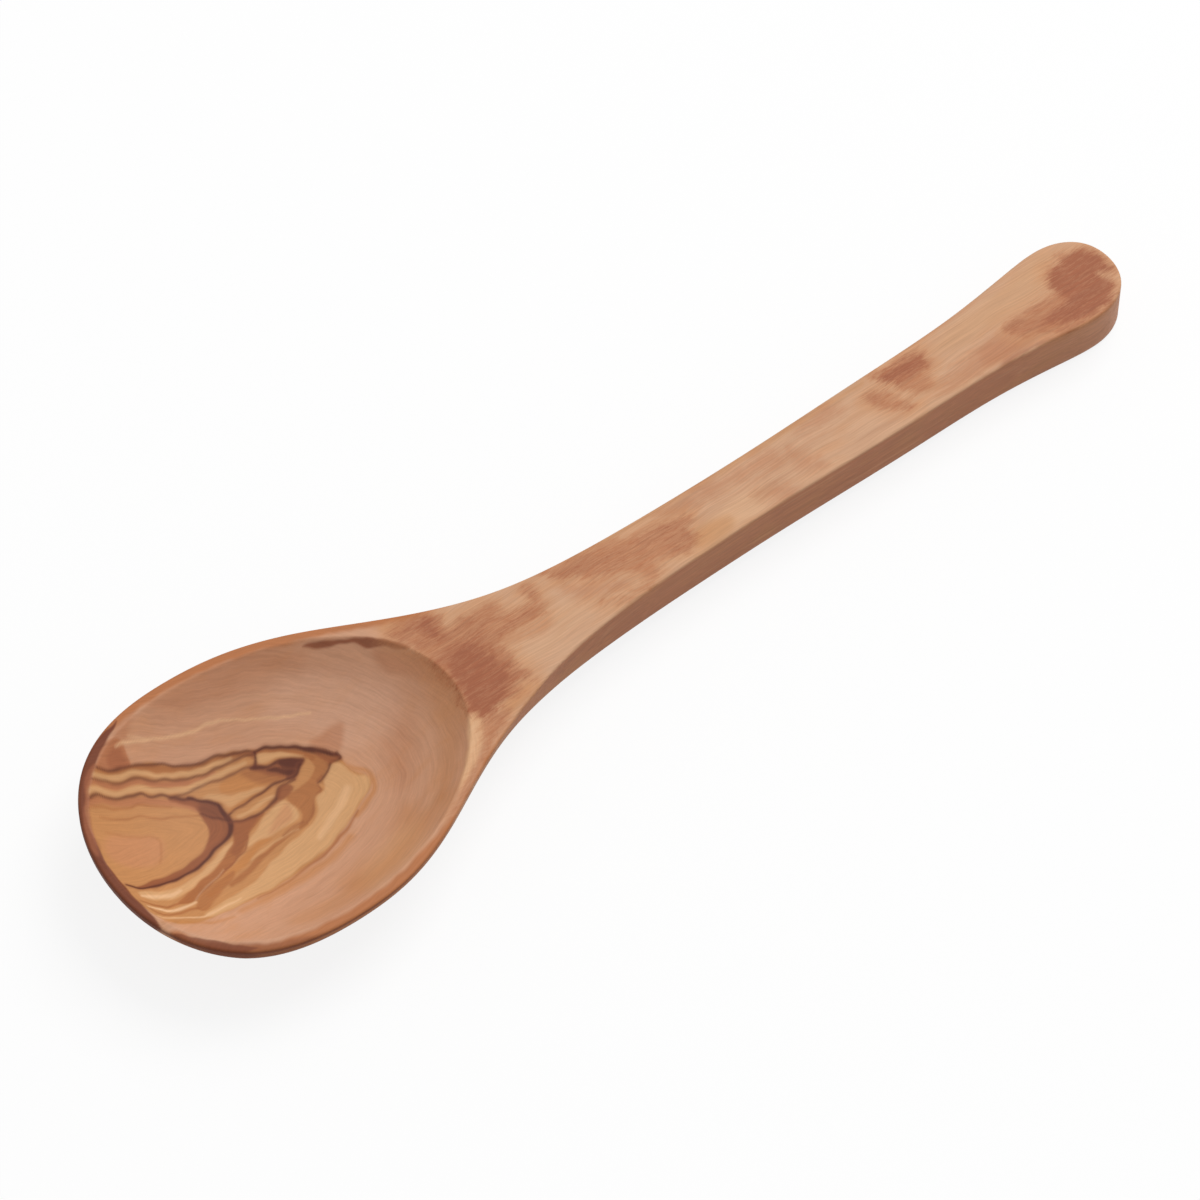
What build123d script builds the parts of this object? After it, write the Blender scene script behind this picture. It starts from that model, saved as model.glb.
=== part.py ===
from build123d import *
from math import atan, cos, pi, sin, sqrt
import os

# A cook's spoon carved from one piece of olive wood. Millimetres.
# The top face, bowl rim and handle in one plane, is sawn and planed first. Lengths are
# taken along it from the bowl's tip, and depths square to it.

# Plan outline, seen square to the top face
overall_length = 305.0
bowl_width = 81.2
widest_from_tip = 43.0
waist_width = 16.4
end_width = 25.2
flare_length = 104.4       # from the waist to the end's shoulders

# Thickness and belly
handle_thickness = 13.5
handle_crown = 0.4         # swell of the handle's underside at its middle
bowl_depth = 20.0
keel_from_tip = 48.0       # where the belly is deepest
belly_end_share = 0.669    # place where the belly has run out, on the same way
rim_height = 2.8           # upright edge round the bowl
sanded_depth = 0.5         # taken off the belly so that the spoon lies still

# Hollow
hollow_depth = 15.0
rim_width = 3.0
tip_rim_width = 2.1
heel_share = 0.382         # place of the hollow's heel from the widest station to the waist

# Eased edges
top_chamfer = 0.7
bottom_arris = 1.2
hollow_chamfer = 0.3

# Widths at even steps from the tip to the widest station, as shares of the bowl's half
# width, with one more point of the outline near the blunt tip, as shares of that run.
blunt_tip_shares = (0.116, 0.497)
tip_width_shares = (0.786, 0.960, 1.0)

# Even steps from the widest station to the waist. Across, one is the bowl's half width and
# nought the waist's. Up, one is the height of the handle's edge and nought the rim's.
neck_shares = (
    (0.949, 0.0),
    (0.809, 0.0),
    (0.600, 0.01),
    (0.378, 0.12),
    (0.208, 0.46),
    (0.105, 0.74),
    (0.048, 0.89),
    (0.018, 0.97),
    (0.005, 1.0),
    (0.0, 1.0),
)

# Places from the waist to the end's shoulders, and the swell there over the waist
flare_shares = ((0.4, 0.125), (0.69, 0.31), (0.84, 0.6))

# The hollow's outline round the tip, and its levels going down
hollow_tip_shares = ((0.144, 0.58), (0.438, 0.872))
hollow_level_shares = (0.0, 0.2, 0.4, 0.6, 0.8, 0.93, 0.985)

# An edge's easing takes at most this share of the rim beside it
easing_limit_share = 0.45
handle_steps = 8

half_bowl = bowl_width / 2
half_waist = waist_width / 2
half_end = end_width / 2
half_hollow = half_bowl - rim_width
handle_edge = handle_thickness - handle_crown
tip_step = widest_from_tip / len(tip_width_shares)
waist_from_tip = overall_length - half_end - flare_length
neck_run = waist_from_tip - widest_from_tip
neck_step = neck_run / len(neck_shares)
hollow_end_from_tip = widest_from_tip + neck_run * heel_share
neck_end_from_tip = widest_from_tip + neck_run * belly_end_share
overrun = bowl_depth       # how far cutting shapes pass the wood
handle_step = (overall_length + overrun - waist_from_tip) / handle_steps

# The table touches the sanded belly and the underside of the handle's end, so the top
# face slopes down a little from the bowl to the end.
rest_run = overall_length - half_end - keel_from_tip
slope = (bowl_depth - sanded_depth - handle_thickness) / rest_run
tilt = atan(slope)
middle_depth = handle_thickness + (overall_length / 2 - half_end) * slope
top_face = Plane(
    origin=(0, 0, middle_depth * cos(tilt)),
    x_dir=(cos(tilt), 0, -sin(tilt)),
    z_dir=(sin(tilt), 0, cos(tilt)),
)


def along(from_tip):
    """Place on the top face's X of a length taken from the bowl's tip."""
    return from_tip - overall_length / 2


def across(from_tip):
    """Plane of a cross-section: X to one side, Y up, both square to the spoon's length."""
    origin = top_face.from_local_coords((along(from_tip), 0, 0))
    return Plane(origin=origin, x_dir=(0, 1, 0), z_dir=top_face.x_dir)


def keel_depth(from_tip):
    """Depth of the underside on the centre line: a parabola from the tip to the deepest
    station, then half a cosine wave up to the handle."""
    if from_tip < keel_from_tip:
        share = (keel_from_tip - from_tip) / keel_from_tip
        return bowl_depth - (bowl_depth - rim_height) * share**2
    share = min(1, (from_tip - keel_from_tip) / (neck_end_from_tip - keel_from_tip))
    return handle_thickness + (bowl_depth - handle_thickness) * (1 + cos(pi * share)) / 2


def arc_radius(half_chord, rise):
    """Radius of the arc that has this half chord and rise."""
    return (half_chord**2 + rise**2) / (2 * rise)


def hollow_outline(reach):
    """Draw the hollow's outline, drawn in to a share of its size about the deepest place:
    a blunt curve round the tip, then half an ellipse to the heel."""

    def place(from_tip, half_width):
        return (along(keel_from_tip + (from_tip - keel_from_tip) * reach), half_width * reach)

    tip_run = widest_from_tip - tip_rim_width
    heel_run = hollow_end_from_tip - widest_from_tip
    Spline(
        place(tip_rim_width, 0),
        *[place(tip_rim_width + tip_run * s, half_hollow * t) for s, t in hollow_tip_shares],
        place(widest_from_tip, half_hollow),
        tangents=((0, 1), (1, 0)),
    )
    EllipticalCenterArc(
        place(widest_from_tip, 0), heel_run * reach, half_hollow * reach, start_angle=0, arc_size=90
    )
    mirror(about=Plane.XZ)


# Half widths of the plan outline at its stations. At each station the underside is an
# arc across the wood, through the keel and the lower edges of the upright sides.
tip_points = []
neck_points = []
sections = []
for step, width_share in enumerate(tip_width_shares, 1):
    half_width = half_bowl * width_share
    tip_points.append((along(tip_step * step), half_width))
    radius = arc_radius(half_width, keel_depth(tip_step * step) - rim_height)
    sections.append((tip_step * step, radius, half_bowl))
for step, (width_share, edge_share) in enumerate(neck_shares, 1):
    from_tip = widest_from_tip + neck_step * step
    half_width = half_waist + (half_bowl - half_waist) * width_share
    neck_points.append((along(from_tip), half_width))
    edge = rim_height + (handle_edge - rim_height) * edge_share
    sections.append((from_tip, arc_radius(half_width, keel_depth(from_tip) - edge), half_width))
for step in range(1, handle_steps + 1):
    from_tip = waist_from_tip + handle_step * step
    sections.append((from_tip, arc_radius(half_waist, handle_crown), half_end))
tip_radius = sections[0][1]
sections = [(-tip_step, tip_radius, half_bowl), (0, tip_radius, half_bowl)] + sections

# The carved underside, with room to spare above and round the wood
with BuildPart() as underside:
    for from_tip, radius, reach in sections:
        side = min(reach + bottom_arris, radius)
        low = -keel_depth(from_tip)
        high = low + radius - sqrt(radius**2 - side**2)
        with BuildSketch(across(from_tip)):
            with BuildLine():
                ThreePointArc((-side, high), (0, low), (side, high))
                Polyline((side, high), (side, overrun * 2), (-side, overrun * 2), (-side, high))
            make_face()
    loft()

with BuildPart() as spoon:
    # The blank, sawn to the plan outline and cut down to the carved underside
    with BuildSketch(top_face):
        with BuildLine():
            along_share, across_share = blunt_tip_shares
            blunt_point = (along(widest_from_tip * along_share), half_bowl * across_share)
            flare_points = [
                (along(waist_from_tip + flare_length * s), half_waist + (half_end - half_waist) * t)
                for s, t in flare_shares
            ]
            shoulder = (along(overall_length - half_end), half_end)
            one_side = [blunt_point, *tip_points, *neck_points, *flare_points, shoulder]
            other_side = [(x, -y) for x, y in reversed(one_side)]
            Spline(*other_side, (along(0), 0), *one_side, tangents=((-1, 0), (1, 0)))
            ThreePointArc(one_side[-1], (along(overall_length), 0), other_side[0])
        make_face()
    extrude(amount=-(bowl_depth + overrun))
    flat_top = spoon.faces().filter_by(top_face).sort_by(Axis.Z)[-1]
    chamfer(flat_top.edges(), min(top_chamfer, rim_height * easing_limit_share))
    add(underside.part, mode=Mode.INTERSECT)
    carved_face = spoon.faces().sort_by(Axis.Z)[0]
    fillet(carved_face.edges(), min(bottom_arris, rim_height * easing_limit_share))

    # The belly's lowest spot and the end's, sanded flat on the table's plane
    split(bisect_by=Plane.XY, keep=Keep.TOP)

    # The hollow, whose levels shrink about its deepest place as a ball's would
    ball_radius = arc_radius(half_hollow, hollow_depth)
    for level_share in hollow_level_shares:
        depth = hollow_depth * level_share
        level_half = sqrt(ball_radius**2 - (ball_radius - hollow_depth + depth) ** 2)
        with BuildSketch(top_face.offset(-depth)):
            with BuildLine():
                hollow_outline(level_half / half_hollow)
            make_face()
    loft(mode=Mode.SUBTRACT)

    flat_top = spoon.faces().filter_by(top_face).sort_by(SortBy.AREA)[-1]
    chamfer(flat_top.inner_wires()[0].edges(), min(hollow_chamfer, tip_rim_width * easing_limit_share))
    spoon.part.label = "spoon"

os.makedirs("parts", exist_ok=True)
export_step(spoon.part, "parts/spoon.step")
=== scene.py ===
import math
import bpy
import numpy as np
from mathutils import Matrix, Vector


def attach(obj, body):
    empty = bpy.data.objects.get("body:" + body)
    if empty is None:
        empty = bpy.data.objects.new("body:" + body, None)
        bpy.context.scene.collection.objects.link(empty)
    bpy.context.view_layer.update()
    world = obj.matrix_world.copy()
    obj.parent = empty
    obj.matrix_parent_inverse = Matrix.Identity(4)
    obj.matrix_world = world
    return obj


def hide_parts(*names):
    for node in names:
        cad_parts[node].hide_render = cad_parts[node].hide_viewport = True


# A wooden cook's spoon carved from one piece of olive wood, seen from above its bowl.
# Sizes are millimetres, but for the studio's, which are metres. A place on the wood is
# given by u, its length from the bowl's tip, v, its distance from the centre line, and its
# depth below the top face, which slopes down a little towards the handle's end.

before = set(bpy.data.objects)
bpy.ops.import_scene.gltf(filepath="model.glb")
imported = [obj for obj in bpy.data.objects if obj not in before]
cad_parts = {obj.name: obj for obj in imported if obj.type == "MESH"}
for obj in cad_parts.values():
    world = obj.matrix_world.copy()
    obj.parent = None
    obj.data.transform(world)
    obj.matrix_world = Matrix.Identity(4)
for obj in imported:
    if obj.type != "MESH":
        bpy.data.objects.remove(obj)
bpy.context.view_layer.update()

scene = bpy.context.scene
scene.view_settings.view_transform = "Standard"

carving = {
    "length": 305.0,
    "slope": 0.02455,        # fall of the top face towards the handle's end
    "topHeight": 16.93,      # of the top face over the table, at half the length
    # half widths of the plan outline at lengths from the tip
    "outline": ((2, 14.0), (5, 21.4), (11, 29.8), (20, 36.3), (30, 39.5), (43, 40.5),
                (60, 38.5), (75, 33.0), (90, 25.4), (105, 18.6), (120, 13.6), (140, 10.3),
                (165, 8.9), (190, 8.6), (230, 9.2), (260, 9.8), (280, 11.8), (292.4, 12.6),
                (300, 10.0), (303.5, 6.2)),
    # half widths of the hollow
    "hollowFrom": 2.1, "hollowTo": 98.0,
    "hollow": ((5, 16.0), (11, 25.6), (20, 32.8), (30, 36.4), (43, 37.6), (56, 36.4),
               (70, 32.5), (80, 27.4), (90, 19.4)),
    "hollowDepth": 15.0, "deepest": 48.0, "hollowPower": 2.7,
    "rimHeight": 2.8, "bellyDepth": 20.0, "handleDepth": 13.5, "bellyEnd": 140.0,
    # height of the upright side from the bowl's rim to the handle
    "sideHeight": ((0, 3.3), (15, 3.4), (30, 3.1), (43, 2.8), (57.5, 2.7), (72, 2.8), (86.5, 2.9),
                   (101, 4.0), (115.5, 7.6), (130, 10.5), (144.5, 12.05), (159, 12.8), (173.5, 13.1),
                   (188, 13.1), (305, 13.1)),
    "leastSide": 1.5,
    # past these two places along it, the spoon's cross section keeps its form
    "sectionFrom": 14.3, "sectionTo": 292.0, "leastRise": 0.3,
    # where the neck's own section begins, is full, starts to end and is over
    "neckSection": (62, 87, 130, 150),
    # the small lean of the hand-drawn outline to one side or the other
    "lean": ((0, 0.0), (30, 0.15), (60, -0.2), (88, 0.5), (105, 0.2), (150, 0.1), (240, 0.1),
             (280, 0.5), (305, 0.5)),
    "topArris": 0.8, "hollowArris": 0.35, "bottomArris": 1.3,
    "wallShare": 0.8,        # of the lower arris, kept free under the upright wall
    # rows in front of the hollow, along it and behind it: how many, and their spacing at
    # the start and at the end as a share of the usual
    "rows": ((10, 0.08, 1), (250, 0.03, 0.03), (185, 0.12, 0.03)),
    "rowEase": 0.12,         # share of the rows in which their spacing changes
    "rowShift": (3, 6),      # how far from the hollow's two ends the rows are shifted
    "hollowColumns": 200, "stripColumns": 11, "wallColumns": 7, "arrisColumns": 4, "bellyColumns": 34,
    "edgeSteps": 900,        # points of the hollow's edge that its depth is worked out from
    "uLimits": (0.01, 304.96), "vLimit": 40.59,  # just inside the CAD box
}
tiny = 1e-9


# Natural cubic spline: each span is the cubic whose second derivatives m agree with its
# neighbours', found from one set of linear equations.
def smoothThrough(xs, ys):
    xs, ys = np.asarray(xs, float), np.asarray(ys, float)
    h, count = np.diff(xs), len(xs)
    matrix, right = np.eye(count), np.zeros(count)
    inner = np.arange(1, count - 1)
    matrix[inner, inner - 1] = h[:-1]
    matrix[inner, inner] = 2 * (h[:-1] + h[1:])
    matrix[inner, inner + 1] = h[1:]
    right[inner] = 6 * (np.diff(ys)[1:] / h[1:] - np.diff(ys)[:-1] / h[:-1])
    m = np.linalg.solve(matrix, right)

    def value(x):
        k = np.clip(np.searchsorted(xs, x) - 1, 0, count - 2)
        t, step = x - xs[k], h[k]
        rise = (ys[k + 1] - ys[k]) / step - step * (2 * m[k] + m[k + 1]) / 6
        return ys[k] + t * (rise + t * (m[k] / 2 + t * (m[k + 1] - m[k]) / (6 * step)))

    return value


# Half width as a spline over the angle a, where u = start + run (1 - cos a) / 2. Odd about both
# ends, so that the outline closes round there.
def roundedOutline(start, end, points):
    run = end - start
    angle = lambda u: np.arccos(np.clip(1 - 2 * (np.asarray(u, float) - start) / run, -1, 1))
    a = angle([u for u, _ in points])
    w = np.array([w for _, w in points])
    xs = np.concatenate([-a[::-1], [0], a, [np.pi], 2 * np.pi - a[::-1]])
    ys = np.concatenate([-w[::-1], [0], w, [0], -w[::-1]])
    spline = smoothThrough(xs, ys)
    return lambda u: np.maximum(spline(angle(u)), 0)


outlineHalf = roundedOutline(0, carving["length"], carving["outline"])
hollowHalf = roundedOutline(carving["hollowFrom"], carving["hollowTo"], carving["hollow"])
sideHeight = smoothThrough(*zip(*carving["sideHeight"]))
leanOf = smoothThrough(*zip(*carving["lean"]))


# Depth of the underside on the centre line: a parabola from the tip to the deepest place, then
# half a cosine wave up to the handle.
def keelDepth(u):
    deepest, belly, handle = carving["deepest"], carving["bellyDepth"], carving["handleDepth"]
    front = belly - (belly - carving["rimHeight"]) * ((deepest - u) / deepest) ** 2
    share = np.clip((u - deepest) / (carving["bellyEnd"] - deepest), 0, 1)
    return np.where(u < deepest, front, handle + (belly - handle) * (1 + np.cos(np.pi * share)) / 2)


# Depth of the underside: across the wood an arc through the keel and the lower edges of the
# upright sides, its radius (half chord squared + rise squared) / (2 rise). Under the neck it
# turns into a parabola through the same three places.
def bellyDepth(u, v):
    place = np.clip(u, carving["sectionFrom"], carving["sectionTo"])
    half = outlineHalf(place)
    rise = np.maximum(keelDepth(place) - sideHeight(place), carving["leastRise"])
    radius = (half ** 2 + rise ** 2) / (2 * rise)
    arc = radius - np.sqrt(np.maximum(radius ** 2 - v ** 2, 0))
    begun, full, ending, over = carving["neckSection"]
    share = np.clip((u - begun) / (full - begun), 0, 1) * np.clip((over - u) / (over - ending), 0, 1)
    return keelDepth(u) - arc * (1 - share) - rise * (v / half) ** 2 * share


# Depth of the hollow: full depth times one less the share of the way out to its outline, raised
# to a power, so that the floor is flatter than the walls.
def hollowDepth(u, v):
    start, end, deepest = carving["hollowFrom"], carving["hollowTo"], carving["deepest"]
    edgeU = start + (end - start) * (1 - np.cos(np.linspace(0, np.pi, carving["edgeSteps"]))) / 2
    edgeV = hollowHalf(edgeU)
    turn = np.arctan2(edgeV, edgeU - deepest)[::-1]
    reach = np.hypot(edgeV, edgeU - deepest)[::-1]
    share = np.hypot(v, u - deepest) / np.interp(np.arctan2(np.abs(v), u - deepest), turn, reach)
    depth = carving["hollowDepth"] * (1 - np.minimum(share, 1) ** carving["hollowPower"])
    return np.where(share < 1, depth, 0)


# Rows whose spacing shrinks towards the ends that curve round.
def gradedRows(start, end, count, head, tail):
    p = np.linspace(0, 1, count)
    ease = carving["rowEase"]
    pace = np.minimum(np.clip(p / ease, head, 1), np.clip((1 - p) / ease, tail, 1))
    steps = np.concatenate([[0], np.cumsum((pace[1:] + pace[:-1]) / 2)])
    return start + (end - start) * steps / steps[-1]


# The rows of the whole spoon, their places on its outline, the rows along the hollow, and
# which they are. On the outline they are shifted by a bell curve at each end of the hollow,
# so that none cross there.
def carvedRows():
    start, end, inner = carving["hollowFrom"], carving["hollowTo"], carving["hollowArris"]
    ends = (0, start, end, carving["length"])
    head, bowl, tail = (gradedRows(a, b, *spec) for a, b, spec in zip(ends, ends[1:], carving["rows"]))
    rows = np.concatenate([head[:-1], bowl, tail[1:]])
    inBowl = slice(len(head) - 1, len(head) - 1 + len(bowl))
    atTip, atHeel = carving["rowShift"]
    early = np.exp(-((rows - start) / atTip) ** 2) * np.minimum(rows / start, 1)
    late = np.exp(-((rows - end) / atHeel) ** 2)
    u = rows + inner * late - (inner + carving["topArris"]) * early
    return rows, u, bowl, inBowl


# The outward direction, square to an outline, at each of its points.
def edgeWay(half, u, start, end):
    du, dv = np.gradient(u), np.gradient(half(u))
    size = np.maximum(np.hypot(du, dv), tiny)
    atStart, atEnd = u <= start + tiny, u >= end - tiny
    wayU = np.where(atEnd, 1.0, np.where(atStart, -1.0, -dv / size))
    return wayU, np.where(atStart | atEnd, 0.0, du / size)


# Straight lines from each point of one edge to the same point of another.
def between(a, b, columns):
    t = np.linspace(0, 1, columns + 1)[None, :, None]
    return a[:, None] * (1 - t) + b[:, None] * t


# Quadratic curve from a to b that keeps the directions to the corner: a worn edge.
def arrisCurve(a, corner, b):
    t = np.linspace(0, 1, carving["arrisColumns"] + 1)[None, :, None]
    return (1 - t) ** 2 * a[:, None] + 2 * t * (1 - t) * corner[:, None] + t ** 2 * b[:, None]


# A face from an edge across to the edge's mirror image, at the depth that a formula gives.
def spanned(edge, columns, depthOf):
    t = np.linspace(-1, 1, columns + 1)
    u, v = edge[:, :1] + 0 * t, edge[:, 1:2] * t
    return np.stack([u, v, depthOf(u, v)], -1)


# Patches of the spoon's surface, each a grid of (u, v, depth).
def carveSpoon():
    rows, u, bowl, inBowl = carvedRows()
    length, start, end = carving["length"], carving["hollowFrom"], carving["hollowTo"]
    top, inner, low = carving["topArris"], carving["hollowArris"], carving["bottomArris"]
    point = lambda a, b, c: np.stack([a, b, np.zeros_like(a) + c], -1)
    outU, outV = edgeWay(outlineHalf, u, 0, length)
    lipU, lipV = edgeWay(hollowHalf, bowl, start, end)
    half, hollow = outlineHalf(u), hollowHalf(bowl)
    side = np.maximum(bellyDepth(u, half), carving["leastSide"])

    rimInner = point(np.interp(rows, [0, start], [top, start - inner]), 0 * u, 0)
    past = rows > end
    rimInner[past, 0] = np.interp(rows[past], [end, length], [end + inner, length - top])
    rimInner[inBowl] = point(bowl + inner * lipU, hollow + inner * lipV, 0)
    rimOuter = point(u - top * outU, np.maximum(half - top * outV, 0), 0)
    wallTop = point(u, half, top)
    wallLow = point(u, half, side - low * carving["wallShare"])
    under = point(u - low * outU, np.maximum(half - low * outV, 0), 0)
    under[:, 2] = bellyDepth(under[:, 0], under[:, 1])
    inside = point(bowl - inner * lipU, np.maximum(hollow - inner * lipV, 0), 0)
    inside[:, 2] = hollowDepth(inside[:, 0], inside[:, 1])

    oneSide = [
        between(rimInner, rimOuter, carving["stripColumns"]),
        arrisCurve(rimOuter, point(u, half, 0), wallTop),
        between(wallTop, wallLow, carving["wallColumns"]),
        arrisCurve(wallLow, point(u, half, side), under),
        arrisCurve(rimInner[inBowl], point(bowl, hollow, 0), inside)[:, ::-1],
    ]
    mirrored = [(grid * [1, -1, 1])[:, ::-1] for grid in oneSide]
    floor = spanned(inside, carving["hollowColumns"], hollowDepth)
    belly = spanned(under, carving["bellyColumns"], bellyDepth)
    return [*oneSide, *mirrored, floor, belly[:, ::-1]]


# From u, v, depth in millimetres to the part's own frame in metres.
def toFrame(place):
    tilt = math.atan(carving["slope"])
    x = place[:, 0] - carving["length"] / 2
    n = -place[:, 2]
    world = np.stack([
        x * math.cos(tilt) + n * math.sin(tilt),
        place[:, 1],
        carving["topHeight"] - x * math.sin(tilt) + n * math.cos(tilt),
    ], -1)
    world[:, 2] = np.maximum(world[:, 2], 0)  # the two sanded flats
    return world / 1000


# One list of points and one of faces from grids whose borders coincide, to 0.0001 mm.
def weld(grids):
    points = np.concatenate([g.reshape(-1, 3) for g in grids])
    faces, start = [], 0
    for g in grids:
        index = start + np.arange(g.shape[0] * g.shape[1]).reshape(g.shape[:2])
        quads = np.stack([index[:-1, :-1], index[1:, :-1], index[1:, 1:], index[:-1, 1:]], -1)
        faces.append(quads.reshape(-1, 4))
        start += index.size
    _, keep, same = np.unique(np.round(points, 4), axis=0, return_index=True, return_inverse=True)
    return points[keep], same.reshape(-1)[np.concatenate(faces)]


# Quads, and triangles where a quad's corners coincide.
def buildMesh(name, points, faces):
    following = np.roll(faces, -1, axis=1)
    keep = faces != following
    sides = keep.sum(1)
    faces, keep, sides = faces[sides > 2], keep[sides > 2], sides[sides > 2]
    mesh = bpy.data.meshes.new(name)
    mesh.vertices.add(len(points))
    mesh.vertices.foreach_set("co", toFrame(points).astype(np.float32).ravel())
    loops = faces[keep]
    mesh.loops.add(len(loops))
    mesh.loops.foreach_set("vertex_index", loops.astype(np.int32))
    mesh.polygons.add(len(faces))
    starts = np.concatenate([[0], np.cumsum(sides)[:-1]])
    mesh.polygons.foreach_set("loop_start", starts.astype(np.int32))
    mesh.polygons.foreach_set("use_smooth", np.ones(len(faces), bool))
    mesh.update(calc_edges=True)
    mesh.validate()
    piece = bpy.data.objects.new(name, mesh)
    scene.collection.objects.link(piece)
    return piece


place, faces = weld(carveSpoon())
place[:, 1] += leanOf(place[:, 0])
place[:, 0] = np.clip(place[:, 0], *carving["uLimits"])
place[:, 1] = np.clip(place[:, 1], -carving["vLimit"], carving["vLimit"])
spoon = buildMesh("carved_spoon", place, faces)
print("spoon carved:", len(spoon.data.vertices), "points,", len(spoon.data.polygons), "faces")


# Keep one number for each point, or three, for the material to read.
def paint(piece, name, values):
    kind = "FLOAT" if values.ndim == 1 else "FLOAT_VECTOR"
    layer = piece.data.attributes.new(name, kind, "POINT")
    layer.data.foreach_set("value" if values.ndim == 1 else "vector", values.astype(np.float32).ravel())


# The camera that took the photograph, found from the spoon's outline in it.
sight = {
    "frame": 1200,           # width and height of the photograph in pixels
    "turn": -37.44, "rise": 56.0, "distance": 1449.9, "aim": (140.0, -4.4),
    "lens": 180.0, "sensor": 36.0,
    "near": 50, "far": 20000,
    "halvings": 30,          # of the way to the depth at which a ray meets the wood
}

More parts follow.
